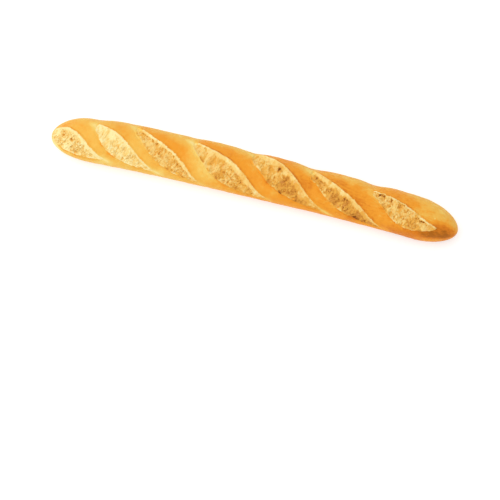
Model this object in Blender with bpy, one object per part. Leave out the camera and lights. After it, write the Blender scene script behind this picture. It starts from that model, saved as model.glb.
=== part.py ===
"""Baguette: one long thin loaf with seven slanted scores that opened in the oven.

Metres, +Z up. The loaf lies along X on its flat base, which is the plane z = 0.
Angles on the crust are degrees from the top of the loaf, positive towards -Y (the front).
"""

import math
from collections import namedtuple

import bmesh
import bpy
import numpy as np
from mathutils import Vector, noise

# the loaf
LENGTH = 0.570
HALF_LENGTH = LENGTH / 2
HALF_WIDTH = 0.0318  # at the middle of the loaf
TAPER = 0.0012  # the -X end is this much wider, the +X end this much narrower
END_TAPER = 0.0030  # lost from the half width towards both ends
WAIST_DEPTH, WAIST_AT, WAIST_REACH = 0.0012, 0.42, 0.34  # a slimmer stretch in the +X half
BEND_LEFT, BEND_RIGHT = 0.0110, 0.0085  # how far the ends swing to the front
SIDE_SHIFT = 0.0026  # keeps the whole loaf centred on the X axis in spite of the bend
CAP_LEFT, CAP_RIGHT = 0.060, 0.059  # length of the rounded ends
TIP_HEIGHT = 0.0180  # height of the very tips
BELLY_HEIGHT = 0.0205  # height of the widest line
CROWN_RISE = 0.0245  # from the widest line up to the plain crown
KEEL_DROP = 0.0265  # from the widest line down, before the base cuts it flat
BASE_ROUNDING = 0.0024
UNEVEN, UNEVEN_SIZE = 0.0009, 0.055  # slow swells of the crust, and how far apart they are

# the scores, from the left end: start and run along X, start and end angle, how far each edge
# bulges from the straight cut and where along it that is widest (0 to 1), and how deep the
# loaf is drawn in where the score starts
Score = namedtuple(
    "Score", "start run from_angle to_angle back back_widest front front_widest pinch"
)
SCORES = (
    Score(-0.282, 0.079, -13, 63, 0.0075, 0.33, 0.0262, 0.24, 0.0),
    Score(-0.225, 0.092, -31, 68, 0.0055, 0.41, 0.0179, 0.42, 0.0022),
    Score(-0.171, 0.100, -47, 72, 0.0065, 0.62, 0.0162, 0.45, 0.0),
    Score(-0.090, 0.113, -39, 73, 0.0092, 0.52, 0.0197, 0.46, 0.0012),
    Score(-0.006, 0.109, -51, 70, 0.0090, 0.37, 0.0195, 0.38, 0.0022),
    Score(0.076, 0.108, -42, 78, 0.0052, 0.61, 0.0182, 0.40, 0.0028),
    Score(0.161, 0.096, -25, 30, 0.0033, 0.41, 0.0223, 0.55, 0.0030),
)
CRUST_RADIUS = 0.0285  # mean radius of the upper crust, to measure round it in metres

# relief of a score that opened by FULL_OPENING; narrower ones are lower in proportion
FULL_OPENING = 0.030
EAR = 0.0040  # height of the lifted back edge
EAR_STEP = 0.0008  # drop from that edge to the crust behind it
EAR_REACH = 0.0085  # the crust behind falls away over this
HOLLOW = 0.0014  # the torn crumb sinks this much between its edges
LIP = 0.0009  # the crumb stands this proud at its front edge
GROOVE, GROOVE_REACH = 0.0013, 0.0035  # the crust dips just in front of the crumb
EDGE_WIDTH = 0.0011  # the crust steps to the crumb over this
THIN_OPENING = 0.004  # crumb this narrow is still closed
SCORE_END = 0.08  # share of a score's length over which its relief comes and goes
PINCH_REACH, PINCH_ANGLE, PINCH_SPREAD = 0.016, -68, 38  # the furrow where a score starts
CRAG_HEIGHT, CRAG_SIZE = 0.0016, 0.0085  # lumps of the torn crumb
EDGE_WANDER, WANDER_SIZE = 0.0012, 0.012  # how the torn edges stray
FADE_ANGLE, FADE_SPREAD = 88, 26  # relief fades out below the widest line
FADE_CAP = 0.35  # and at the tips

# mesh
RINGS, SEGMENTS = 460, 168
TRIANGLES = 11000


def smooth_step(x):
    x = np.clip(x, 0, 1)
    return x * x * (3 - 2 * x)


def swell(x, centre, reach):
    """1 at the centre, falling to 0 on both sides."""
    return np.exp(-(((x - centre) / reach) ** 2))


def above_base(z):
    """z cut flat at 0, with a small round at the edge of the base."""
    round_part = (z + BASE_ROUNDING) ** 2 / (4 * BASE_ROUNDING)
    return np.where(z > BASE_ROUNDING, z, np.where(z < -BASE_ROUNDING, 0, round_part))


def cap_scale(x):
    """1 along the loaf, falling to 0 as a quarter ellipse over each rounded end."""
    left = np.clip((HALF_LENGTH + x) / CAP_LEFT, 0, 1)
    right = np.clip((HALF_LENGTH - x) / CAP_RIGHT, 0, 1)
    return np.sqrt(1 - (1 - np.minimum(left, right)) ** 2)


def half_width(x):
    u = x / HALF_LENGTH
    waist = WAIST_DEPTH * swell(u, WAIST_AT, WAIST_REACH)
    return HALF_WIDTH - TAPER * u - END_TAPER * np.abs(u) ** 4 - waist


def bend(x):
    u = x / HALF_LENGTH
    return SIDE_SHIFT - np.where(u < 0, BEND_LEFT, BEND_RIGHT) * np.abs(u) ** 3


def loaf_surface(x, angle, relief):
    """Points of the loaf at stations x and angles round it, raised by relief."""
    scale = cap_scale(x)
    turn = np.radians(angle)
    centre = TIP_HEIGHT + (BELLY_HEIGHT - TIP_HEIGHT) * scale
    rise = np.where(np.cos(turn) > 0, CROWN_RISE, KEEL_DROP) * scale
    y = bend(x) - (half_width(x) * scale + relief) * np.sin(turn)
    z = centre + (rise + relief) * np.cos(turn)
    return np.stack([x, y, above_base(z)], axis=-1)


def crust_noise(x, angle, size, seed):
    """Smooth noise from -1 to 1 over the crust, the same all round at the back seam."""
    turn = np.radians(angle)
    radius = CRUST_RADIUS / size
    points = np.stack([x / size + seed, radius * np.sin(turn), radius * np.cos(turn)], axis=-1)
    return np.array([noise.noise(Vector(point)) for point in points.tolist()])


def skewed_bump(t, widest, power):
    """0 at t = 0 and 1, and 1 where t is widest."""
    skew = math.log(0.5) / math.log(widest)
    return np.sin(math.pi * np.clip(t, 0, 1) ** skew) ** power


def score_relief(x, angle, score, stray, crags):
    """Height that one score adds to the crust."""
    metres = math.radians(1) * CRUST_RADIUS
    along, across = score.run, (score.to_angle - score.from_angle) * metres
    length = math.hypot(along, across)
    dx, dw = x - score.start, (angle - score.from_angle) * metres
    t = (dx * along + dw * across) / length**2
    q = (dw * along - dx * across) / length

    back_edge = score.back * skewed_bump(t, score.back_widest, 1.6) + stray
    front_edge = score.front * skewed_bump(t, score.front_widest, 0.8) + stray
    opening = np.maximum(back_edge + front_edge, 1e-6)
    fullness = np.clip(opening / FULL_OPENING, 0, 1.1) ** 0.7
    behind = np.maximum(-q - back_edge, 0)
    before = np.maximum(q - front_edge, 0)
    r = np.clip((q + back_edge) / opening, 0, 1)

    crumb = EAR * (1 - r) ** 3 + LIP * r**6 - HOLLOW * np.sin(math.pi * r)
    crust_behind = (EAR - EAR_STEP) * np.exp(-behind / EAR_REACH)
    crust_before = -GROOVE * swell(before, 0, GROOVE_REACH)
    to_behind = smooth_step(behind / EDGE_WIDTH)
    to_before = smooth_step(before / EDGE_WIDTH)
    torn = (1 - to_behind) * (1 - to_before)
    height = crumb * torn + crust_behind * to_behind + crust_before * to_before
    height = height * fullness + crags * torn * smooth_step(opening / THIN_OPENING)
    starts = smooth_step(0.5 + t / SCORE_END / 2)
    stops = smooth_step(0.5 + (1 - t) / SCORE_END / 2)
    furrow = score.pinch * swell(dx, 0, PINCH_REACH) * swell(angle, PINCH_ANGLE, PINCH_SPREAD)
    return height * starts * stops - furrow


def all_relief(x, angle):
    """The slow swells of the crust and every score, fading out at the tips and low down."""
    stray = EDGE_WANDER * crust_noise(x, angle, WANDER_SIZE, 3)
    crags = CRAG_HEIGHT * crust_noise(x, angle, CRAG_SIZE, 17)
    total = UNEVEN * crust_noise(x, angle, UNEVEN_SIZE, 31)
    for score in SCORES:
        total = total + score_relief(x, angle, score, stray, crags)
    below = smooth_step((np.abs(angle) - FADE_ANGLE) / FADE_SPREAD)
    return total * (1 - below) * smooth_step(cap_scale(x) / FADE_CAP)


def station(share):
    """x for a share of the way from tip to tip, measured along the skin."""
    left_arc = 0.5 * math.pi * math.sqrt((CAP_LEFT**2 + HALF_WIDTH**2) / 2)
    right_arc = 0.5 * math.pi * math.sqrt((CAP_RIGHT**2 + HALF_WIDTH**2) / 2)
    body = LENGTH - CAP_LEFT - CAP_RIGHT
    way = share * (left_arc + body + right_arc)
    left = 1 - np.cos(0.5 * math.pi * np.clip(way / left_arc, 0, 1))
    right = 1 - np.cos(0.5 * math.pi * np.clip((left_arc + body + right_arc - way) / right_arc, 0, 1))
    middle = np.clip(way - left_arc, 0, body)
    return -HALF_LENGTH + CAP_LEFT * left + middle + CAP_RIGHT * (1 - right)


def sphere_to_loaf(points):
    """Moves the points of a unit sphere to the loaf, its poles on Z going to the tips."""
    share = 0.5 + np.arcsin(np.clip(points[:, 2], -1, 1)) / math.pi
    angle = np.degrees(np.arctan2(points[:, 1], points[:, 0]))
    x = station(share)
    return loaf_surface(x, angle, all_relief(x, angle))


def clear_scene():
    for obj in list(bpy.data.objects):
        bpy.data.objects.remove(obj, do_unlink=True)


def crust_material():
    material = bpy.data.materials.new("crust")
    material.use_nodes = True
    shader = material.node_tree.nodes["Principled BSDF"]
    shader.inputs["Base Color"].default_value = (0.80, 0.40, 0.09, 1)
    shader.inputs["Roughness"].default_value = 0.5
    shader.inputs["Metallic"].default_value = 0
    return material


def make_baguette(collection):
    sphere = bmesh.new()
    bmesh.ops.create_uvsphere(sphere, u_segments=SEGMENTS, v_segments=RINGS, radius=1)
    mesh = bpy.data.meshes.new("baguette")
    sphere.to_mesh(mesh)
    sphere.free()
    points = np.empty(len(mesh.vertices) * 3)
    mesh.vertices.foreach_get("co", points)
    moved = sphere_to_loaf(points.reshape(-1, 3))
    mesh.vertices.foreach_set("co", moved.ravel())
    mesh.materials.append(crust_material())
    mesh.shade_smooth()

    loaf = bpy.data.objects.new("baguette", mesh)
    collection.objects.link(loaf)
    fewer = loaf.modifiers.new("fewer faces", "DECIMATE")
    fewer.ratio = TRIANGLES / sum(len(face.vertices) - 2 for face in mesh.polygons)
    fewer.use_collapse_triangulate = True


def main():
    clear_scene()
    collection = bpy.data.collections.new("Baguette")
    bpy.context.scene.collection.children.link(collection)
    make_baguette(collection)


main()
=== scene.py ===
import math

import bpy
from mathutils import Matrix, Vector


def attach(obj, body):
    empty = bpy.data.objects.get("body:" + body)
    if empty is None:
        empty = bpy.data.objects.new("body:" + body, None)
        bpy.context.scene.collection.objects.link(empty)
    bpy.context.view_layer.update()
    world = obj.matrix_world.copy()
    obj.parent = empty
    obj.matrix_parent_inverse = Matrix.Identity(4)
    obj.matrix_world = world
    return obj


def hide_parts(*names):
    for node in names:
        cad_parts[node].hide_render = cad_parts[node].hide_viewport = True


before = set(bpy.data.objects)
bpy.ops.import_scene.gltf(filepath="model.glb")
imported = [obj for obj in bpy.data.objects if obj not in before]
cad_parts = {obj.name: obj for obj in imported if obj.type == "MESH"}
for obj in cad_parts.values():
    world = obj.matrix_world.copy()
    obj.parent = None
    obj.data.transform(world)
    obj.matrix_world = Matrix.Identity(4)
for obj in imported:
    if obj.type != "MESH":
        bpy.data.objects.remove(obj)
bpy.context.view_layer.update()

print("baguette: frame loaded")


class Term:
    # a value in a node tree; terms add up like numbers, and each step becomes a Math node
    def __init__(self, socket):
        self.socket = socket
        self.tree = socket.id_data

    def calc(self, operation, *others):
        return mathNode(self.tree, operation, self, *others)

    def __add__(self, other):
        return self.calc("ADD", other)

    def __sub__(self, other):
        return self.calc("SUBTRACT", other)

    def __mul__(self, other):
        return self.calc("MULTIPLY", other)

    def __truediv__(self, other):
        return self.calc("DIVIDE", other)

    def __pow__(self, other):
        return self.calc("POWER", other)

    def __rsub__(self, other):
        return mathNode(self.tree, "SUBTRACT", other, self)

    __radd__ = __add__
    __rmul__ = __mul__


def plug(value, slot):
    # a term is linked into the slot, and a plain number or colour is written on it
    if isinstance(value, Term):
        slot.id_data.links.new(value.socket, slot)
    elif value is not None:
        slot.default_value = value


def mathNode(tree, operation, *values):
    node = tree.nodes.new("ShaderNodeMath")
    node.operation = operation
    for value, slot in zip(values, node.inputs):
        plug(value, slot)
    return Term(node.outputs[0])


def addNode(tree, kind, inputs=None, **settings):
    node = tree.nodes.new(kind)
    for name, value in settings.items():
        setattr(node, name, value)
    for name, value in (inputs or {}).items():
        plug(value, node.inputs[name])
    return node


def square(term):
    return term * term


def sine(term):
    return term.calc("SINE")


def cosine(term):
    return term.calc("COSINE")


def atLeast(term, low):
    return term.calc("MAXIMUM", low)


def clamp(term, low=0.0, high=1.0):
    return term.calc("MAXIMUM", low).calc("MINIMUM", high)


def bell(term, reach):
    # 1 where the term is 0, falling to 0 on both sides
    return (square(term / reach) * -1).calc("EXPONENT")


def fadeOut(distance, reach):
    # 1 at the edge and before it, falling away behind it
    return (atLeast(distance, 0.0) / reach * -1).calc("EXPONENT")


def ramp(term, low, high):
    # smoothly from 0 at low to 1 at high
    node = addNode(term.tree, "ShaderNodeMapRange", interpolation_type="SMOOTHSTEP")
    for value, slot in zip((term, low, high, 0.0, 1.0), node.inputs):
        plug(value, slot)
    return Term(node.outputs[0])


def between(share, first, second):
    return first + (second - first) * share


def vector(tree, x=0.0, y=0.0, z=0.0):
    node = tree.nodes.new("ShaderNodeCombineXYZ")
    for value, slot in zip((x, y, z), node.inputs):
        plug(value, slot)
    return Term(node.outputs[0])


def parts(place):
    node = addNode(place.tree, "ShaderNodeSeparateXYZ", {"Vector": place})
    return [Term(slot) for slot in node.outputs]


def vectorMath(operation, *values, **inputs):
    # one step with vectors; plain numbers in a list or tuple stand for a fixed vector
    tree = next(value.tree for value in values if isinstance(value, Term))
    node = addNode(tree, "ShaderNodeVectorMath", inputs, operation=operation)
    for value, slot in zip(values, node.inputs):
        plug(value, slot)
    return Term(node.outputs[0])


def inUnits(place, size, stretch=(1, 1, 1)):
    return vectorMath("MULTIPLY", place, [1 / (size * part) for part in stretch])


def noise(place, size, seed=0.0, detail=2.0, rough=0.5, stretch=(1, 1, 1)):
    # smooth noise from about -1 to 1, with lumps about as far apart as size
    node = addNode(place.tree, "ShaderNodeTexNoise",
                   {"Vector": inUnits(place, size, stretch), "W": seed, "Scale": 1.0,
                    "Detail": detail, "Roughness": rough}, noise_dimensions="4D")
    return (Term(node.outputs[0]) - 0.5) * 3


def cells(place, size, seed=0.0, stretch=(1, 1, 1)):
    # random cells about as wide as size: the distance in them, and a random number for each
    node = addNode(place.tree, "ShaderNodeTexVoronoi",
                   {"Vector": inUnits(place, size, stretch), "W": seed, "Scale": 1.0},
                   voronoi_dimensions="4D")
    return Term(node.outputs["Distance"]), parts(Term(node.outputs["Color"]))[0]


def stirred(place, amount, size, seed=0.0):
    # the place moved about by noise, so that what is laid on it loses its straight sides
    node = addNode(place.tree, "ShaderNodeTexNoise",
                   {"Vector": inUnits(place, size), "W": seed, "Scale": 1.0}, noise_dimensions="4D")
    return vectorMath("MULTIPLY_ADD", Term(node.outputs["Color"]), [amount * 3] * 3, place)


def newTree(name, inputs, outputs):
    # a geometry tree with named inputs; returns it, its inputs as terms and its output node
    tree = bpy.data.node_groups.new(name, "GeometryNodeTree")
    for label, value in inputs.items():
        kind = "NodeSocketInt" if isinstance(value, int) else "NodeSocketFloat"
        socket = tree.interface.new_socket(label, in_out="INPUT", socket_type=kind)
        socket.default_value = value
    for label, kind in outputs.items():
        tree.interface.new_socket(label, in_out="OUTPUT", socket_type=kind)
    source = tree.nodes.new("NodeGroupInput")
    given = {label: Term(source.outputs[label]) for label in inputs}
    return tree, given, tree.nodes.new("NodeGroupOutput")


def addGroup(tree, group, *given):
    # a group node whose inputs take the terms and numbers given under their names
    node = addNode(tree, "GeometryNodeGroup", node_tree=group)
    for values in given:
        for slot in node.inputs:
            if slot.name in values:
                plug(values[slot.name], slot)
    return {slot.name: Term(slot) for slot in node.outputs}


def keep(geometry, name, value, kind="FLOAT", domain="POINT"):
    # stores the value on the mesh under this name
    node = addNode(geometry.tree, "GeometryNodeStoreNamedAttribute",
                   {"Geometry": geometry, "Name": name, "Value": value}, data_type=kind, domain=domain)
    return Term(node.outputs[0])


def named(tree, name, kind="FLOAT"):
    # reads back what keep stored
    node = addNode(tree, "GeometryNodeInputNamedAttribute", {"Name": name}, data_type=kind)
    return Term(next(slot for slot in node.outputs if slot.enabled))


def shifted(geometry, **inputs):
    # moves the points to a Position, or by an Offset
    node = addNode(geometry.tree, "GeometryNodeSetPosition", {"Geometry": geometry, **inputs})
    return Term(node.outputs[0])


def randomShare(tree, seed):
    node = addNode(tree, "FunctionNodeRandomValue", {"Seed": seed}, data_type="FLOAT")
    return Term(node.outputs[1])


def randomVector(tree, seed, low, high):
    node = addNode(tree, "FunctionNodeRandomValue", {"Seed": seed}, data_type="FLOAT_VECTOR")
    plug(low, node.inputs[0])
    plug(high, node.inputs[1])
    return Term(node.outputs[0])


def finishTree(tree, result, geometry, material):
    smooth = addNode(tree, "GeometryNodeSetShadeSmooth", {"Geometry": geometry})
    real = addNode(tree, "GeometryNodeRealizeInstances", {"Geometry": Term(smooth.outputs[0])})
    painted = addNode(tree, "GeometryNodeSetMaterial",
                      {"Geometry": Term(real.outputs[0]), "Material": material})
    plug(Term(painted.outputs[0]), result.inputs["Geometry"])


def buildPiece(name, tree, values, replaced=None):
    # runs a geometry tree once and keeps the plain mesh it makes
    maker = bpy.data.objects.new(name + "Maker", bpy.data.meshes.new(name + "Maker"))
    bpy.context.scene.collection.objects.link(maker)
    modifier = maker.modifiers.new(name, "NODES")
    modifier.node_group = tree
    for socket in tree.interface.items_tree:
        if socket.in_out == "INPUT" and socket.name in values:
            modifier[socket.identifier] = values[socket.name]
    made = maker.evaluated_get(bpy.context.evaluated_depsgraph_get())
    mesh = bpy.data.meshes.new_from_object(made)
    mesh.name = name
    maker.modifiers.remove(modifier)
    bpy.data.objects.remove(maker)
    piece = bpy.data.objects.new(name, mesh)
    bpy.context.scene.collection.objects.link(piece)
    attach(piece, "root")
    if replaced:
        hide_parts(replaced)
    mesh.calc_loop_triangles()
    print("baguette:", name, len(mesh.loop_triangles), "triangles")
    return piece


# the loaf's own form, in metres; angles are degrees from the top, positive to the front
loafSizes = {
    "length": 0.570,
    "halfWidth": 0.0318,
    "taper": 0.0012,  # the left end is this much wider, the right end this much narrower
    "endTaper": 0.0030,
    "waistDepth": 0.0012, "waistAt": 0.42, "waistReach": 0.34,
    "bendLeft": 0.0110, "bendRight": 0.0085,  # how far the ends swing to the front
    "sideShift": 0.0026,
    "capLeft": 0.060, "capRight": 0.059,
    "tipHeight": 0.0180, "bellyHeight": 0.0205,
    "crownRise": 0.0245, "keelDrop": 0.0265, "baseRounding": 0.0024,
    "crustRadius": 0.0285,  # mean radius of the upper crust, to measure round it in metres
}

# relief of a score that opened by fullOpening
reliefSizes = {
    "uneven": 0.0009,  # slow swells of the crust
    "fullOpening": 0.030,
    "ear": 0.0042,  # height of the lifted back edge
    "earStep": 0.0008,  # drop from that edge to the crust behind it
    "earReach": 0.0085,  # the crust behind falls away over this
    "hollow": 0.0014,  # the torn crumb sinks this much between its edges
    "lip": 0.0010,  # and stands this proud at its front edge
    "groove": 0.0013, "grooveReach": 0.0035,  # the crust dips just in front of the crumb
    "edgeWidth": 0.0011,  # the crust steps to the crumb over this
    "backStray": 0.0008, "frontStray": 0.0021,  # how far the torn edges wander
    "raggedStray": 0.0022,
    "pinchReach": 0.016, "pinchAngle": -68.0, "pinchSpread": 38.0,  # the furrow where a score starts
    "fadeAngle": 88.0, "fadeSpread": 26.0, "fadeCap": 0.35,  # relief fades out low down and at the tips
}

# the seven scores, from the left end: where each is cut, how far its edges opened and where along
# it they are widest, how much wider its front edge starts, and the depth of the furrow there
scoreFields = ("start", "run", "fromAngle", "toAngle", "back", "backWidest", "front", "frontWidest",
               "head", "pinch")
scores = [dict(zip(scoreFields, values)) for values in (
    (-0.282, 0.079, -13.0, 63.0, 0.0075, 0.33, 0.0262, 0.24, 0.0, 0.0),
    (-0.225, 0.092, -31.0, 68.0, 0.0055, 0.41, 0.0179, 0.42, 0.0012, 0.0022),
    (-0.171, 0.100, -47.0, 72.0, 0.0065, 0.62, 0.0162, 0.45, 0.0040, 0.0),
    (-0.090, 0.113, -39.0, 73.0, 0.0092, 0.52, 0.0197, 0.46, 0.0034, 0.0012),
    (-0.006, 0.109, -51.0, 70.0, 0.0090, 0.37, 0.0195, 0.38, 0.0048, 0.0022),
    (0.076, 0.108, -42.0, 78.0, 0.0052, 0.61, 0.0182, 0.40, 0.0048, 0.0028),
    (0.161, 0.096, -25.0, 30.0, 0.0033, 0.41, 0.0223, 0.55, 0.0032, 0.0030),
)]

# how each of them baked; shares run along a score from 0 to 1
scoreLooks = {
    "toast": (0.00, 0.02, 0.22, 0.30, 0.43, 0.48, 0.25),  # how brown its crumb is
    "calm": (0.20, 0.45, 0.0, 0.45, 0.35, 0.0, 0.0),  # smooth up to this share, rough from there on
    "band": (0.0030, 0.0016, 0.0019, 0.0044, 0.0066, 0.0050, 0.0006),  # skin along the lifted edge
    "ragged": (0.5, 0.35, 0.8, 0.45, 0.35, 0.5, 1.0),  # how torn that edge is
    "sparse": (0.001, 0.001, 0.30, 0.10, 0.06, 0.16, 0.001),  # only lumps show up to this share
    "backBrown": (0.35, 0.55, 0.95, 1.0, 0.95, 0.82, 0.42),  # crust behind the lifted edge
    "frontPale": (0.2, 0.0, 0.8, 1.0, 0.1, 0.1, 0.4),  # crust before the front edge
    "frontLine": (1.3, 1.1, 0.8, 0.4, 0.9, 0.6, 1.0),  # painted shadow along the front edge, under the crumb's lip
    "headPale": (0.0, 0.9, 0.7, 1.0, 0.7, 0.6, 0.3),  # pale crust where it starts
    "tailPale": (1.0, 1.0, 0.5, 0.4, 0.9, 0.4, 0.0),  # and where it ends
}
for number, score in enumerate(scores):
    score.update({name: values[number] for name, values in scoreLooks.items()}, seed=10.0 * number)


crustDetail = {
    "segments": 164, "rings": 540,
    "crowding": 20.0,  # degrees by which the mesh is drawn up to the top
    "sink": 0.0035,  # how deep the crust runs under the torn crumb
    "dents": 0.00045, "puckers": 0.00016,
}

crumbDetail = {
    "rowsAlong": 206, "rowsAcross": 68,
    "backShare": 0.11, "frontShare": 0.16,  # shares of the patch that lie on the crust
    "backReach": 0.0050, "frontReach": 0.0070,  # how far it reaches over the crust there
    "rise": 0.0004,
    "lumps": 0.0011,
    "plates": 0.0012,  # height of the steps between torn layers
    "folds": 0.0014,  # ridges drawn out from edge to edge
    "cracks": 0.0010,
    "granules": 0.0009,
    "holes": 0.0016, "pits": 0.0009,
    "grain": 0.00030,
    "flakes": 0.00045,  # the crust's broken rim
    "skinRipples": 0.0003, "skinSwells": 0.0005,  # of the smooth strip along the lifted edge
    "blend": 0.0012, "wobble": 0.0014,  # the crumb gives way to the crust over this
    "rimSunk": 0.0008, "endSunk": 0.0006, "headSunk": 0.0010,  # how far the rims dip into the crust
    "tipGap": 0.0006,  # the patch stays this far from the loaf's tips
}

crustSizes = {**loafSizes, **reliefSizes, **crustDetail}
crumbSizes = {**loafSizes, **reliefSizes, **crumbDetail, **crustDetail}
reliefNames = ("height", "behind", "before", "line", "pale", "sink")
browningAndShadeNames = ("behind", "before", "line", "pale")


def capScale(x, given):
    left = clamp((given["length"] * 0.5 + x) / given["capLeft"])
    right = clamp((given["length"] * 0.5 - x) / given["capRight"])
    return atLeast(1 - square(1 - left.calc("MINIMUM", right)), 0.0).calc("SQRT")


def makeSurfaceGroup():
    # the point of the loaf at a station and an angle, raised by a height
    tree, given, result = newTree("loafSurface", {"x": 0.0, "angle": 0.0, "height": 0.0, **loafSizes},
                                  {"point": "NodeSocketVector"})
    x, height = given["x"], given["height"]
    u = x / (given["length"] * 0.5)
    far = u.calc("ABSOLUTE")
    turn = given["angle"].calc("RADIANS")
    scale = capScale(x, given)
    waist = given["waistDepth"] * bell(u - given["waistAt"], given["waistReach"])
    halfWidth = given["halfWidth"] - given["taper"] * u - given["endTaper"] * far ** 4.0 - waist
    swing = between(u.calc("LESS_THAN", 0.0), given["bendRight"], given["bendLeft"])
    middle = given["sideShift"] - swing * far ** 3.0
    centre = between(scale, given["tipHeight"], given["bellyHeight"])
    up = cosine(turn).calc("GREATER_THAN", 0.0)
    rise = between(up, given["keelDrop"], given["crownRise"]) * scale
    y = middle - (halfWidth * scale + height) * sine(turn)
    z = centre + (rise + height) * cosine(turn)
    rounding = given["baseRounding"]
    rounded = square(atLeast(z + rounding, 0.0)) / (rounding * 4)
    z = between(z.calc("GREATER_THAN", rounding), rounded, z)
    plug(vector(tree, x, y, z), result.inputs["point"])
    return tree


def skewedBump(t, widest, power):
    # 0 at both ends of a score and 1 where it is widest
    skew = mathNode(t.tree, "LOGARITHM", 0.5, widest)
    return atLeast(sine(clamp(t, 1e-5, 1.0) ** skew * math.pi), 0.0) ** power


def makeEdgesGroup():
    # how far a score's two torn edges are from its straight cut, at a share t of its length
    names = ("backEdge", "frontEdge", "opening", "fullness", "ends", "torn")
    tree, given, result = newTree("scoreEdges", {"t": 0.0, **scores[3], **reliefSizes},
                                  {name: "NodeSocketFloat" for name in names})
    t = given["t"]
    place = vector(tree, t * 0.11, 0.0, given["seed"])
    back = given["back"] * skewedBump(t, given["backWidest"], 1.6)
    front = given["front"] * skewedBump(t, given["frontWidest"], 0.8)
    front = front + given["head"] * bell(t - 0.05, 0.08)
    stray = ramp(t, 0.02, 0.15) * (1 - ramp(t, 0.85, 0.98))
    back = back + given["backStray"] * noise(place, 0.014, 3.0) * stray
    ragged = given["raggedStray"] * given["ragged"] * noise(place, 0.0050, 5.0, detail=4.0, rough=0.6)
    back = back + ragged * stray
    front = front + given["frontStray"] * noise(place, 0.010, 7.0, detail=4.0, rough=0.65) * stray
    opening = atLeast(back + front, 0.0003)
    plug(back, result.inputs["backEdge"])
    plug(opening - back, result.inputs["frontEdge"])
    plug(opening, result.inputs["opening"])
    plug(clamp(opening / given["fullOpening"], 0.0, 1.1) ** 0.7, result.inputs["fullness"])
    plug(ramp(t, -0.04, 0.04) * (1 - ramp(t, 0.96, 1.04)), result.inputs["ends"])
    plug(ramp(opening, 0.001, 0.004), result.inputs["torn"])
    return tree


def makeScoreGroup(edgesGroup):
    # one score at a station and an angle: what it adds to the loaf, how it browns the crust, and the
    # painted shadow along its front edge
    spot = {"x": 0.0, "angle": 0.0, "crustRadius": loafSizes["crustRadius"]}
    tree, given, result = newTree("score", {**spot, **scores[3], **reliefSizes},
                                  {name: "NodeSocketFloat" for name in reliefNames})
    metres = given["crustRadius"] * math.radians(1)
    run, turn = given["run"], (given["toAngle"] - given["fromAngle"]) * metres
    length = (square(run) + square(turn)).calc("SQRT")
    dx = given["x"] - given["start"]
    dw = (given["angle"] - given["fromAngle"]) * metres
    t = (dx * run + dw * turn) / square(length)  # share of the score's length
    q = (dw * run - dx * turn) / length  # distance to the front of the straight cut
    edges = addGroup(tree, edgesGroup, given, {"t": t})
    behind = q * -1 - edges["backEdge"]
    before = q - edges["frontEdge"]
    r = clamp(1 - before * -1 / edges["opening"])

    stepBehind = ramp(behind, 0.0, given["edgeWidth"])
    stepBefore = ramp(before, 0.0, given["edgeWidth"])
    inside = (1 - stepBehind) * (1 - stepBefore)
    crumb = given["ear"] * (1 - r) ** 3.0 + given["lip"] * r ** 6.0
    crumb = crumb - given["hollow"] * sine(r * math.pi)
    earSide = (given["ear"] - given["earStep"]) * fadeOut(behind, given["earReach"]) * stepBehind
    dip = given["groove"] * bell(atLeast(before, 0.0), given["grooveReach"]) * stepBefore
    relief = (crumb * inside + earSide - dip) * edges["fullness"] * edges["ends"]
    furrow = given["pinch"] * bell(dx, given["pinchReach"])
    furrow = furrow * bell(given["angle"] - given["pinchAngle"], given["pinchSpread"])
    ends = edges["fullness"] * edges["ends"]
    covered = ramp(behind * -1, -0.0032, 0.003) * ramp(before * -1, 0.0010, 0.0060)
    plug(relief - furrow, result.inputs["height"])

    early = 1 - ramp(t, 0.10, 0.45)
    brownSide = (1 - ramp(behind, 0.006, 0.030)) * ramp(behind, -0.002, 0.0) * between(early, 0.85, 1.0)
    brownSide = brownSide * given["backBrown"]
    paleSide = fadeOut(before, 0.012) * ramp(before, -0.002, 0.0) * (1 - ramp(t, 0.20, 0.52))
    paleSide = paleSide * given["frontPale"]
    # a browned line just behind the lifted edge, and a painted shadow line along the front edge where
    # the crumb overhangs the groove
    line = bell(behind - 0.0012, 0.0017) * between(early, 0.60, 1.0)
    frontLine = 0.45 * bell(before - 0.0028, 0.0048) + 0.75 * bell(before - 0.0008, 0.0011)
    line = line + frontLine * ramp(t, 0.05, 0.30) * given["frontLine"]
    tail = bell(q - 0.0008, 0.0038) * ramp(t, 0.72, 0.92) * (1 - ramp(t, 1.04, 1.18))
    head = bell(q - 0.0034, 0.0044) * ramp(t, -0.14, -0.02) * (1 - ramp(t, 0.02, 0.14))
    plug(tail * given["tailPale"] + head * given["headPale"], result.inputs["pale"])
    plug(brownSide * ends, result.inputs["behind"])
    plug(paleSide * ends, result.inputs["before"])
    plug(line * ends * edges["torn"], result.inputs["line"])
    plug(covered * edges["torn"], result.inputs["sink"])
    return tree


def crustPlace(x, angle, given):
    # a spot of the crust as if the loaf were an even round bar, to lay patterns on
    turn = angle.calc("RADIANS")
    return vector(x.tree, x, sine(turn) * given["crustRadius"], cosine(turn) * given["crustRadius"])


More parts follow.
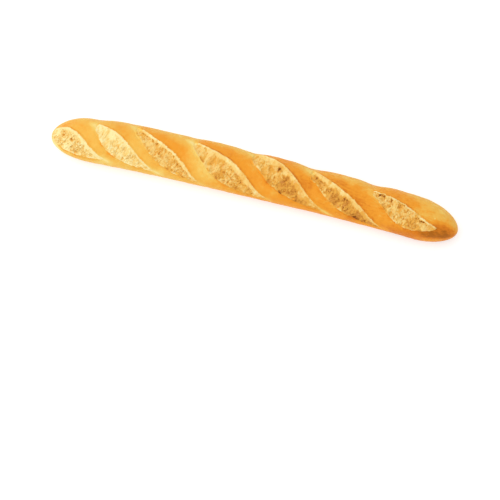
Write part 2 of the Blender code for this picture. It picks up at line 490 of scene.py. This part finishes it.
def makeReliefGroup(scoreGroup):
    # the slow swells of the crust and all seven scores together
    tree, given, result = newTree("loafRelief", {"x": 0.0, "angle": 0.0, **loafSizes, **reliefSizes},
                                  {name: "NodeSocketFloat" for name in reliefNames})
    total = addGroup(tree, scoreGroup, given, scores[0])
    for score in scores[1:]:
        made = addGroup(tree, scoreGroup, given, score)
        for name in reliefNames:
            rule = "ADD" if name == "height" else "MAXIMUM"
            total[name] = total[name].calc(rule, made[name])
    place = crustPlace(given["x"], given["angle"], given)
    slow = given["uneven"] * noise(place, 0.055, 31.0, detail=1.0)
    below = ramp(given["angle"].calc("ABSOLUTE") - given["fadeAngle"], 0.0, given["fadeSpread"])
    fade = (1 - below) * ramp(capScale(given["x"], given), 0.0, given["fadeCap"])
    plug((total["height"] + slow) * fade, result.inputs["height"])
    for name in reliefNames[1:]:
        plug(total[name] * fade, result.inputs[name])
    return tree


surfaceGroup = makeSurfaceGroup()
edgesGroup = makeEdgesGroup()
reliefGroup = makeReliefGroup(makeScoreGroup(edgesGroup))
print("baguette: shape rules ready")


def station(share, given):
    # x for a share of the way from tip to tip, measured along the skin
    def arc(cap):
        return ((square(cap) + square(given["halfWidth"])) * 0.5).calc("SQRT") * (math.pi / 2)

    leftArc, rightArc = arc(given["capLeft"]), arc(given["capRight"])
    body = given["length"] - given["capLeft"] - given["capRight"]
    whole = leftArc + body + rightArc
    way = share * whole
    left = 1 - cosine(clamp(way / leftArc) * (math.pi / 2))
    right = 1 - cosine(clamp((whole - way) / rightArc) * (math.pi / 2))
    middle = atLeast(way - leftArc, 0.0).calc("MINIMUM", body)
    return given["capLeft"] * left + middle + given["capRight"] * (1 - right) - given["length"] * 0.5


def skinRelief(place, given):
    # shallow dents and fine puckers of the crust, the same on every piece that shows it
    dents = given["dents"] * noise(place, 0.0130, 5.0, detail=3.0)
    return dents + given["puckers"] * noise(place, 0.0042, 6.0, detail=3.0)


def keepSides(shape, x, angle, given):
    # for the browning and the painted shade: degrees towards the front, and how far underneath; both
    # are 0 at the tips
    far = angle.calc("ABSOLUTE")
    tips = ramp(capScale(x, given), 0.0, 0.45)
    shape = keep(shape, "side", angle * (1 - ramp(far, 100.0, 175.0)) * tips)
    return keep(shape, "under", ramp(far, 98.0, 145.0) * tips)


def makeCrust(material):
    # the whole loaf, from a sphere whose poles go to the tips
    tree, given, result = newTree("crust", crustSizes, {"Geometry": "NodeSocketGeometry"})
    ball = addNode(tree, "GeometryNodeMeshUVSphere",
                   {"Segments": given["segments"], "Rings": given["rings"], "Radius": 1.0})
    spot = Term(tree.nodes.new("GeometryNodeInputPosition").outputs[0])
    px, py, pz = parts(spot)
    share = clamp(pz, -1.0, 1.0).calc("ARCSINE") / math.pi + 0.5
    circling = py.calc("ARCTAN2", px)
    angle = circling.calc("DEGREES") - given["crowding"] * sine(circling)
    x = station(share, given)
    relief = addGroup(tree, reliefGroup, given, {"x": x, "angle": angle})
    skin = skinRelief(crustPlace(x, angle, given), given)
    height = relief["height"] + skin * ramp(capScale(x, given), 0.0, 0.6)
    height = height - given["sink"] * relief["sink"]
    point = addGroup(tree, surfaceGroup, given, {"x": x, "angle": angle, "height": height})["point"]

    # two strips for the baked map, each half of the loaf unrolled; the seam runs along the base
    def overFace(value):
        node = addNode(tree, "GeometryNodeFieldOnDomain", {"Value": value},
                       domain="FACE", data_type="FLOAT")
        return Term(node.outputs[0])

    faceX, faceY, faceShare = overFace(px), overFace(py), overFace(share)
    onSeam = circling.calc("ABSOLUTE").calc("GREATER_THAN", 3.14)
    atPole = share.calc("COMPARE", 0.5, 0.49999).calc("LESS_THAN", 0.5)
    unrolled = between(onSeam, circling, faceY.calc("SIGN") * math.pi)
    unrolled = between(atPole, unrolled, faceY.calc("ARCTAN2", faceX))
    right = faceShare.calc("GREATER_THAN", 0.5)
    u = (share - right * 0.5) * 2
    v = (unrolled / math.pi * 0.5 + 0.5) * 0.49 + right * 0.5 + 0.005
    uv = vector(tree, u * 0.99 + 0.005, v)
    shape = keep(Term(ball.outputs["Mesh"]), "OFBake", uv, "FLOAT2", "CORNER")
    for name in browningAndShadeNames:
        shape = keep(shape, name, relief[name])
    shape = keepSides(shape, x, angle, given)
    finishTree(tree, result, shifted(shape, Position=point), material)
    return buildPiece("crust", tree, crustSizes, "baguette")


def makePatchGroup():
    # the torn crumb of one score, on a grid that follows its two edges
    tree, given, result = newTree("tornPatch", {**scores[3], **crumbSizes},
                                  {"Geometry": "NodeSocketGeometry"})
    grid = addNode(tree, "GeometryNodeMeshGrid",
                   {"Size X": 1.0, "Size Y": 1.0, "Vertices X": given["rowsAlong"],
                    "Vertices Y": given["rowsAcross"]})
    px, py = parts(Term(tree.nodes.new("GeometryNodeInputPosition").outputs[0]))[:2]
    t, across = px + 0.5, py + 0.5
    edges = addGroup(tree, edgesGroup, given, {"t": t})
    backShare, frontShare = given["backShare"], given["frontShare"]
    behind = 1 - clamp(across / backShare)  # 1 at the back rim, 0 from the lifted edge on
    r = clamp((across - backShare) / (1 - backShare - frontShare))  # 0 at the lifted edge, 1 in front
    ahead = clamp((across - 1 + frontShare) / frontShare)  # 1 at the front rim
    q = edges["opening"] * r - edges["backEdge"]
    q = q - given["backReach"] * behind + given["frontReach"] * ahead

    metres = given["crustRadius"] * math.radians(1)
    run, turn = given["run"], (given["toAngle"] - given["fromAngle"]) * metres
    length = (square(run) + square(turn)).calc("SQRT")
    x = given["start"] + t * run - q * turn / length
    reach = given["length"] * 0.5 - given["tipGap"]
    x = x.calc("MAXIMUM", reach * -1).calc("MINIMUM", reach)
    angle = given["fromAngle"] + (t * turn + q * run / length) / metres
    relief = addGroup(tree, reliefGroup, given, {"x": x, "angle": angle})

    # where the crumb is calm or rough, and the smooth skin left along the lifted edge
    place = vector(tree, t * length, q, given["seed"])
    loose = stirred(place, 0.0011, 0.0040, 6.0)
    fromBack = r * edges["opening"]
    fromFront = (1 - r) * edges["opening"] - given["frontReach"] * ahead
    band = given["band"] * (1 + 1.2 * noise(place, 0.013, 2.0, detail=3.0))
    band = band * (1 + 0.8 * ramp(t, 0.45, 0.80))
    skin = (1 - ramp(fromBack, band * 0.6, band * 1.1 + 0.0002)) * ramp(fromFront, 0.0, 0.003)
    closed = ramp(t, 0.0, given["sparse"] * 1.3) * 1.9
    islands = ramp(noise(place, 0.0055, 51.0, detail=3.0) + closed, 0.0, 0.3)
    islands = islands * ramp(t + 0.035 * noise(place, 0.0045, 71.0, detail=3.0), 0.0, 0.035)
    inner = (1 - skin) * ramp(fromFront, -0.0004, 0.0030) * edges["torn"] * islands
    starting = given["ragged"] * (1 - ramp(t, 0.06, 0.26))
    later = clamp((t - given["calm"]) * 3, -1.0, 0.30)
    patchy = ramp(noise(place, 0.013, 15.0, detail=3.0) * 1.3 + later + starting, -0.35, 0.45)

    # torn layers, drawn folds, cracks, crumbs and holes
    lumps = noise(place, 0.0080, 11.0)
    layer = noise(place, 0.0110, 4.0, detail=3.0, rough=0.55, stretch=(0.75, 1.7, 1))
    steps = ramp(layer, -0.30, -0.16) + ramp(layer, 0.16, 0.30)
    foot = bell(layer + 0.30, 0.10) + bell(layer - 0.16, 0.10)
    fold = bell(noise(place, 0.0210, 33.0, detail=2.0, stretch=(0.6, 1.6, 1)), 0.13)
    fold = fold * (1 - patchy * 0.6)
    wander = noise(place, 0.0065, 8.0, detail=3.0, stretch=(0.7, 1.3, 1))
    crack = bell(wander, 0.09) * patchy
    granuleDistance, granulePick = cells(loose, 0.0030, 14.0)
    granule = (1 - ramp(granuleDistance, 0.15, 0.75)) * between(granulePick, 0.5, 1.0) * patchy
    holeDistance, holePick = cells(loose, 0.0075, 9.0)
    hole = (1 - ramp(holeDistance, 0.15, 0.40)) * ramp(holePick, 0.35, 0.50) * between(patchy, 0.3, 1.0)
    pitDistance, pitPick = cells(loose, 0.0032, 19.0)
    pit = (1 - ramp(pitDistance, 0.12, 0.48)) * ramp(pitPick, 0.55, 0.75) * between(patchy, 0.1, 1.0)
    grain = noise(place, 0.0013, 21.0, detail=3.0, rough=0.6)
    detail = given["lumps"] * lumps + given["plates"] * (steps - 1) + given["folds"] * fold
    detail = detail - given["cracks"] * crack + given["granules"] * (granule - 0.4 * patchy)
    detail = detail - given["holes"] * hole - given["pits"] * pit
    detail = detail + given["grain"] * grain * between(patchy, 0.25, 1.0)
    detail = detail * inner * edges["fullness"]
    uneven = given["skinRipples"] * noise(place, 0.0026, 25.0, detail=3.0)
    uneven = uneven + given["skinSwells"] * noise(place, 0.012, 27.0)
    detail = detail + uneven * skin * edges["torn"] * islands * r.calc("GREATER_THAN", 0.001)
    rimHere = bell(fromFront + 0.0006, 0.0024) * edges["torn"]
    detail = detail + given["flakes"] * noise(place, 0.0030, 29.0, detail=3.0) * rimHere

    # it lies just proud of the crust, and its rims dip under
    lift = given["rise"] * ramp(behind * -1, -0.8, -0.35) * edges["ends"]
    lift = lift * ramp(edges["opening"], 0.0, 0.004)
    lift = lift * (1 - ramp(ahead, 0.6, 0.95)) - given["rimSunk"] * ramp(ahead, 0.6, 1.0)
    lift = lift - given["rimSunk"] * ramp(behind, 0.55, 1.0)
    lift = lift - given["endSunk"] * (1 - edges["ends"] * edges["torn"])
    headDip = given["headSunk"] * (1 - ramp(t, 0.0, 0.045))
    lift = lift - headDip * ramp(capScale(x, given), 0.5, 0.8)
    onCrust = 1 - ramp(fromFront, -0.0015, 0.0015) * (1 - ramp(behind, 0.0, 0.4))
    skinHeight = skinRelief(crustPlace(x, angle, given), given) * onCrust
    skinHeight = skinHeight * ramp(capScale(x, given), 0.0, 0.6)
    height = relief["height"] + detail + lift + skinHeight
    point = addGroup(tree, surfaceGroup, given, {"x": x, "angle": angle, "height": height})["point"]

    uv = vector(tree, t * 0.99 + 0.005, (given["seed"] / 10 + across * 0.96 + 0.02) / 7)
    shape = keep(Term(grid.outputs["Mesh"]), "OFBake", uv, "FLOAT2", "CORNER")
    wobble = given["wobble"] * noise(place, 0.0050, 31.0, detail=3.0)
    tornFront = ramp(fromFront + wobble, given["blend"] * -1, given["blend"])
    broken = given["ragged"] * noise(place, 0.0030, 55.0, detail=3.0)
    tornBack = 1 - ramp(behind + 0.30 * broken, 0.02, 0.26 + 0.20 * given["ragged"])
    shape = keep(shape, "torn", tornBack * tornFront * ramp(edges["opening"], 0.0006, 0.003) * islands)
    for name in browningAndShadeNames:
        shape = keep(shape, name, relief[name])
    shape = keepSides(shape, x, angle, given)
    plates = cells(stirred(place, 0.0030, 0.0090, 41.0), 0.0100, 42.0, stretch=(0.8, 1.3, 1))
    shape = keep(shape, "plate", plates[1])
    # painted shade: the crumb deepens in cracks, pits, holes, at the feet of the torn layers and
    # between granules, and lightens on lumps and folds; dark spots along the ragged lifted edge and a
    # burnt strip near its start are added in
    hollow = crack * 0.35 + pit * 0.8 + hole * 0.8 + foot * 0.25 - lumps * 0.12 - fold * 0.25
    spots = bell(fromBack - 0.0024, 0.0026) * ramp(noise(place, 0.0046, 53.0, detail=2.0), 0.05, 0.4)
    hollow = hollow + 1.6 * spots * ramp(given["ragged"], 0.35, 1.0) * between(patchy, 0.3, 1.0)
    burnt = bell(t - 0.12, 0.06) * bell(fromBack - 0.0018, 0.0024) * ramp(given["toast"], 0.10, 0.30)
    hollow = hollow + 2.2 * burnt * ramp(noise(place, 0.0034, 67.0, detail=2.0), -0.15, 0.30)
    shape = keep(shape, "cavity", (hollow + (0.35 - granule) * patchy * 0.45) * inner)
    shape = keep(shape, "rough", inner * patchy)
    shape = keep(shape, "skin", skin)
    shape = keep(shape, "rim", bell(fromFront - 0.0006, 0.0020) * (1 - ramp(t, 0.82, 0.93)))
    shape = keep(shape, "crest", bell(fromBack - 0.0004, 0.0012) * (1 - behind))
    shape = keep(shape, "toast", given["toast"] * between(ramp(t, 0.10, 0.80), 0.70, 1.15))
    loosely = inner * patchy * ramp(noise(place, 0.0060, 45.0, detail=2.0), -0.2, 0.4)
    loosely = loosely * ramp(fromFront, 0.0010, 0.0035)
    alongCrest = 0.35 * given["ragged"] * bell(fromBack - 0.0020, 0.0009) * (1 - behind)
    loosely = loosely + alongCrest * edges["torn"]
    loosely = loosely * (1 - ramp(t, 0.88, 0.95)) * ramp(t, 0.03, 0.10)
    loosely = loosely * ramp(capScale(x, given), 0.45, 0.75)
    shape = keep(shape, "loose", loosely)
    plug(shifted(shape, Position=point), result.inputs["Geometry"])
    return tree


def makeTornCrumb(material):
    tree, given, result = newTree("tornCrumb", crumbSizes, {"Geometry": "NodeSocketGeometry"})
    patchGroup = makePatchGroup()
    join = tree.nodes.new("GeometryNodeJoinGeometry")
    for score in reversed(scores):
        patch = addGroup(tree, patchGroup, given, score)
        plug(patch["Geometry"], join.inputs[0])
    finishTree(tree, result, Term(join.outputs[0]), material)
    return buildPiece("tornCrumb", tree, crumbSizes)


shredDetail = {
    "density": 420000.0,  # on the roughest crumb, for each square metre
    "smallest": 0.00025, "largest": 0.00090,
    "seed": 7,
    "knobbly": 0.55,  # how uneven each of them is
    "lean": 0.00030,  # how far noise pulls their corners about
    "sunk": 0.00015,
}


def makeShreds(torn, material):
    # loose shreds and crumbs that stand up from the roughest of the torn crumb
    tree, given, result = newTree("crumbShreds", shredDetail, {"Geometry": "NodeSocketGeometry"})
    source = addNode(tree, "GeometryNodeObjectInfo", {"Object": torn})
    spread = addNode(tree, "GeometryNodeDistributePointsOnFaces",
                     {"Mesh": Term(source.outputs["Geometry"]), "Seed": given["seed"],
                      "Density": given["density"] * named(tree, "loose")})
    position = Term(tree.nodes.new("GeometryNodeInputPosition").outputs[0])
    inward = vectorMath("SCALE", Term(spread.outputs["Normal"]), Scale=given["sunk"] * -1)
    spots = shifted(Term(spread.outputs["Points"]), Offset=inward)
    spots = keep(spots, "spot", position, "FLOAT_VECTOR")
    spots = keep(spots, "pick", randomShare(tree, 3))

    # an uneven ball for each spot, turned and stretched its own way
    ball = addNode(tree, "GeometryNodeMeshIcoSphere", {"Radius": 1.0, "Subdivisions": 2})
    knobs = given["knobbly"] * noise(position, 0.9, 61.0, detail=2.0, rough=0.7)
    crumb = shifted(Term(ball.outputs["Mesh"]), Offset=vectorMath("SCALE", position, Scale=knobs))
    turned = addNode(tree, "FunctionNodeEulerToRotation",
                     {"Euler": randomVector(tree, 5, (0.0, 0.0, 0.0), (math.tau, math.tau, math.tau))})
    stretch = randomVector(tree, 9, (0.7, 0.5, 0.35), (1.6, 1.2, 0.8))
    size = between(randomShare(tree, 11) ** 3.0, given["smallest"], given["largest"])
    placed = addNode(tree, "GeometryNodeInstanceOnPoints",
                     {"Points": spots, "Instance": crumb, "Rotation": Term(turned.outputs[0]),
                      "Scale": vectorMath("SCALE", stretch, Scale=size)})
    real = addNode(tree, "GeometryNodeRealizeInstances", {"Geometry": Term(placed.outputs[0])})
    pulled = vectorMath("SUBTRACT", stirred(position, 1.0, 0.0008, 13.0), position)
    pulled = vectorMath("SUBTRACT", pulled, (1.5, 1.5, 1.5))  # so that it averages nothing
    leaning = shifted(Term(real.outputs[0]), Offset=vectorMath("SCALE", pulled, Scale=given["lean"]))

    # each shred keeps to its own spot of the baked map
    fromSpot = vectorMath("SUBTRACT", position, named(tree, "spot", "FLOAT_VECTOR"))
    uv = vectorMath("MULTIPLY_ADD", fromSpot, (9.0, 3.4, 0.0), named(tree, "OFBake", "FLOAT_VECTOR"))
    finishTree(tree, result, keep(leaning, "OFBake", uv, "FLOAT2", "CORNER"), material)
    return buildPiece("crumbShreds", tree, shredDetail)


def tone(code):
    # a hex colour as the linear values Blender works with
    values = [int(code[i:i + 2], 16) / 255 for i in (0, 2, 4)]
    return [v / 12.92 if v <= 0.04045 else ((v + 0.055) / 1.055) ** 2.4 for v in values] + [1.0]


def mixTones(share, first, second):
    node = addNode(share.tree, "ShaderNodeMix", data_type="RGBA")
    for slot, value in ((0, share), (6, first), (7, second)):
        plug(value, node.inputs[slot])
    return Term(node.outputs[2])


def toneRamp(term, stops):
    node = addNode(term.tree, "ShaderNodeValToRGB", {"Fac": term})
    node.color_ramp.interpolation = "EASE"
    while len(node.color_ramp.elements) < len(stops):
        node.color_ramp.elements.new(0.5)
    for element, (position, code) in zip(node.color_ramp.elements, stops):
        element.position = position
        element.color = tone(code)
    return Term(node.outputs["Color"])


def stored(tree, name):
    return Term(addNode(tree, "ShaderNodeAttribute", attribute_name=name).outputs["Fac"])


breadLook = {
    "crustTones": ((0.0, "F2DC90"), (0.14, "EFCA6A"), (0.30, "EEB54C"), (0.54, "ED9A2A"),
                   (0.76, "D97C1A"), (1.0, "AC6210")),  # from pale to well baked
    "crumbTones": ((0.0, "F6E3A2"), (0.26, "F1CB78"), (0.52, "E6A845"), (0.76, "CE8A34"),
                   (1.0, "85480F")),
    "blush": "E8A061",
    "crustRoughness": 0.46, "crumbRoughness": 0.70, "gloss": 0.12,
    "bumpDepth": 0.00018, "shredBumpDepth": 0.00010,
}


def crustBrownAndShade(tree, place):
    # how brown the crust is, with painted shade: most behind the lifted edges, least just before the
    # next score
    x = parts(place)[0]  # runs from -0.285 at the left tip to 0.285 at the right one
    behind, before = stored(tree, "behind"), stored(tree, "before")
    side, under = stored(tree, "side"), stored(tree, "under")
    brownAndShade = 0.25 + 0.42 * behind - 0.26 * before
    # the browned line behind each lifted edge and the painted shadow along each front edge
    brownAndShade = brownAndShade + 0.36 * stored(tree, "line") * ramp(noise(place, 0.011, 12.0, detail=3.0), -0.5, 0.5)
    brownAndShade = brownAndShade + 0.17 * ramp(x, -0.06, 0.12) - 0.14 * ramp(x, 0.19, 0.25)
    brownAndShade = brownAndShade + 0.05 * ramp(x, 0.250, 0.280)
    lowFront = 0.17 * ramp(x, -0.15, -0.03) + 0.16 * ramp(x, 0.17, 0.20) - 0.18 * ramp(x, 0.215, 0.250)
    brownAndShade = brownAndShade + lowFront * ramp(side + 6 * noise(place, 0.0160, 75.0, detail=3.0), 32.0, 70.0)
    backStrip = ramp(x, -0.02, 0.06) * (1 - ramp(x, 0.10, 0.18)) * bell(side + 42, 22.0)
    brownAndShade = brownAndShade - 0.16 * backStrip * (1 - under)
    endward = x * -1 + 0.004 * noise(place, 0.020, 73.0, detail=3.0)
    brownAndShade = brownAndShade - 0.25 * ramp(endward, 0.246, 0.280) * ramp(side, -30.0, 10.0)

    # painted shade on the front of the right end, where it turns down away from the light
    patch = ramp(side, -10.0, 34.0) * (1 - 0.7 * ramp(side, 56.0, 80.0))
    patch = patch * ramp(x + (side - 15) * 0.0003, 0.229, 0.263) * (1 - 0.5 * ramp(x, 0.268, 0.286))
    brownAndShade = brownAndShade + 0.60 * patch

    # mottling, fine drawn streaks and small blisters, pale in their own colour and with painted
    # highlights
    streaks = noise(place, 0.0030, 15.0, detail=3.0, stretch=(2.2, 0.8, 0.8))
    streaks = streaks * (1 - 0.6 * ramp(side, 40.0, 70.0))
    brownAndShade = brownAndShade + 0.14 * noise(place, 0.020, 1.0, detail=3.0)
    brownAndShade = brownAndShade + 0.08 * noise(place, 0.005, 2.0, detail=4.0)
    brownAndShade = brownAndShade + 0.15 * streaks * ramp(x, 0.0, 0.12)
    flecks = ramp(noise(place, 0.0021, 57.0, detail=1.0), 0.55, 0.85)
    brownAndShade = brownAndShade - 0.22 * flecks * ramp(x, -0.02, 0.12)
    brownAndShade = brownAndShade + 0.12 * ramp(noise(place, 0.0016, 13.0, detail=2.0), 0.45, 0.9) * ramp(x, -0.1, 0.1)
    # the blisters on the right end are painted paler, partly their own colour and partly painted
    # highlight
    blister, pick = cells(place, 0.0060, 17.0)
    paleBlistersAndHighlights = (1 - ramp(blister, 0.10, 0.30)) * ramp(pick, 0.6, 0.7)
    brownAndShade = brownAndShade - 0.30 * paleBlistersAndHighlights * ramp(x, 0.215, 0.245)
    brownAndShade = brownAndShade + 0.30 * under + 0.16 * under * noise(place, 0.0070, 63.0, detail=4.0, rough=0.65)
    brownAndShade = brownAndShade - 0.30 * under * ramp(noise(place, 0.0150, 65.0, detail=4.0), 0.25, 0.9)
    return brownAndShade * (1 - 0.85 * stored(tree, "pale"))


def newMaterial(name):
    # a material, its shader and where on the loaf it is
    material = bpy.data.materials.new(name)
    material.use_nodes = True
    place = material.node_tree.nodes.new("ShaderNodeTexCoord").outputs["Object"]
    return material, material.node_tree.nodes["Principled BSDF"], Term(place)


def finishShader(shader, tint, roughness, bumps, depth):
    plug(tint, shader.inputs["Base Color"])
    shader.inputs["Roughness"].default_value = roughness
    shader.inputs["Specular IOR Level"].default_value = breadLook["gloss"]
    bump = addNode(shader.id_data, "ShaderNodeBump", {"Height": bumps, "Distance": depth})
    plug(Term(bump.outputs[0]), shader.inputs["Normal"])


def breadMaterial(name, torn):
    # crust, and where the loaf is torn the crumb that takes over from it
    material, shader, place = newMaterial(name)
    tree = place.tree
    tint = toneRamp(clamp(crustBrownAndShade(tree, place)), breadLook["crustTones"])
    if not torn:
        roughness = breadLook["crustRoughness"]
        bubble, bubblePick = cells(place, 0.0034, 23.0)
        bubbles = (1 - ramp(bubble, 0.10, 0.42)) * ramp(bubblePick, 0.62, 0.85)
        bumps = noise(place, 0.0016, 3.0, detail=4.0) + 1.1 * bubbles
        bumps = bumps + 0.9 * noise(place, 0.0048, 27.0, detail=3.0)
    else:
        cavity, rough, toast = stored(tree, "cavity"), stored(tree, "rough"), stored(tree, "toast")
        skin, rim, crest = stored(tree, "skin"), stored(tree, "rim"), stored(tree, "crest")
        toasted = clamp(toast * 3)
        # the painted shade of the hollows, with some browning, deepens the crumb's tone
        deep = 0.08 + toast * (1.04 - 0.40 * skin) + between(toasted, 0.52, 0.38) * cavity
        deep = deep + between(toasted, 0.08, 0.15) * noise(place, 0.0100, 6.0, detail=3.0)
        deep = deep + 0.11 * noise(place, 0.0036, 7.0, detail=4.0)
        deep = deep + between(toasted, 0.12, 0.26) * (stored(tree, "plate") - 0.5)
        deep = deep + 0.12 * rough * noise(place, 0.0016, 9.0, detail=3.0)
        # painted highlight along the crest of the lifted edge
        crestHighlight = (0.04 + 0.26 * toast) * crest
        deep = deep - crestHighlight * ramp(noise(place, 0.0120, 19.0, detail=2.0), -0.5, 0.3)
        # along the front rim the crumb is darker, browning with painted shadow under its lip, and paler
        # in places
        deep = deep + 0.45 * rim * ramp(noise(place, 0.0110, 8.0, detail=2.0), -0.1, 0.5)
        deep = deep - 0.22 * rim * ramp(noise(place, 0.0140, 10.0), 0.1, 0.5)
        # dark specks in the rough crumb: browned bits and the painted shade of small pits
        deep = deep + 0.48 * rough * ramp(noise(place, 0.0024, 11.0, detail=2.0), 0.40, 0.70)
        crumbTone = toneRamp(clamp(deep), breadLook["crumbTones"])
        pinker = 0.30 * ramp(noise(place, 0.0065, 16.0, detail=3.0), 0.1, 0.6) * ramp(toast, 0.0, 0.3)
        crumbTone = mixTones(pinker, crumbTone, tone(breadLook["blush"]))
        share = stored(tree, "torn") + 0.30 * noise(place, 0.0024, 18.0, detail=3.0)
        tint = mixTones(ramp(share, 0.32, 0.68), tint, crumbTone)
        roughness = breadLook["crumbRoughness"]
        bumps = noise(place, 0.0009, 3.0, detail=5.0)
    finishShader(shader, tint, roughness, bumps, breadLook["bumpDepth"])
    return material


def shredMaterial():
    # single crumbs, from cream to toasted
    material, shader, place = newMaterial("shreds")
    pick, toast = stored(place.tree, "pick"), stored(place.tree, "toast")
    # each shred is darker where the crumb under it holds painted hollow shade and browning
    deep = 0.04 + 1.05 * toast + 0.30 * stored(place.tree, "cavity") + 0.30 * (pick - 0.4)
    deep = deep + 0.12 * noise(place, 0.0100, 6.0, detail=3.0)
    deep = deep + 0.10 * noise(place, 0.0012, 7.0, detail=3.0)
    finishShader(shader, toneRamp(clamp(deep), breadLook["crumbTones"]), breadLook["crumbRoughness"],
                 noise(place, 0.0007, 3.0, detail=4.0), breadLook["shredBumpDepth"])
    return material


makeCrust(breadMaterial("crust", False))
tornCrumb = makeTornCrumb(breadMaterial("crumb", True))
makeShreds(tornCrumb, shredMaterial())


# the view and the light, with angles in degrees
viewSizes = {
    "azimuth": 14.33, "elevation": 74.26, "distance": 2.6, "lens": 137.3,
    "aim": (0.0174, -0.0939, -0.0078),
}
lightSizes = {
    "world": 0.74, "key": 29.0, "keySize": 2.6, "keyPlace": (-1.0, -0.25, 1.9),
    "floorReach": 8.0, "floorTone": "D0D0CF", "floorRoughness": 0.9, "floorGlow": 0.50,
}


def makeCamera():
    turn, lift = math.radians(viewSizes["azimuth"]), math.radians(viewSizes["elevation"])
    back = Vector((math.sin(turn) * math.cos(lift), -math.cos(turn) * math.cos(lift), math.sin(lift)))
    data = bpy.data.cameras.new("camera")
    data.lens, data.sensor_width = viewSizes["lens"], 36.0
    data.clip_end = 50
    camera = bpy.data.objects.new("camera", data)
    camera.location = Vector(viewSizes["aim"]) + back * viewSizes["distance"]
    camera.rotation_euler = back.to_track_quat("Z", "Y").to_euler()
    bpy.context.scene.collection.objects.link(camera)
    bpy.context.scene.camera = camera


def makeStudio():
    scene = bpy.context.scene
    scene.view_settings.view_transform = "Standard"
    world = bpy.data.worlds.new("world")
    world.use_nodes = True
    world.node_tree.nodes["Background"].inputs["Color"].default_value = (1, 1, 1, 1)
    world.node_tree.nodes["Background"].inputs["Strength"].default_value = lightSizes["world"]
    scene.world = world

    data = bpy.data.lights.new("key", "AREA")
    data.energy, data.size = lightSizes["key"], lightSizes["keySize"]
    key = bpy.data.objects.new("key", data)
    key.location = lightSizes["keyPlace"]
    key.rotation_euler = key.location.to_track_quat("Z", "Y").to_euler()
    scene.collection.objects.link(key)

    mesh = bpy.data.meshes.new("floor")
    reach = lightSizes["floorReach"]
    mesh.from_pydata([(-reach, -reach, 0), (reach, -reach, 0), (reach, reach, 0), (-reach, reach, 0)],
                     [], [(0, 1, 2, 3)])
    floor = bpy.data.objects.new("floor", mesh)
    material = bpy.data.materials.new("floor")
    material.use_nodes = True
    shader = material.node_tree.nodes["Principled BSDF"]
    shader.inputs["Base Color"].default_value = tone(lightSizes["floorTone"])
    shader.inputs["Roughness"].default_value = lightSizes["floorRoughness"]
    shader.inputs["Specular IOR Level"].default_value = 0.0
    shader.inputs["Emission Color"].default_value = (1, 1, 1, 1)
    shader.inputs["Emission Strength"].default_value = lightSizes["floorGlow"]
    mesh.materials.append(material)
    scene.collection.objects.link(floor)


makeCamera()
makeStudio()
print("baguette: camera, light and floor ready")
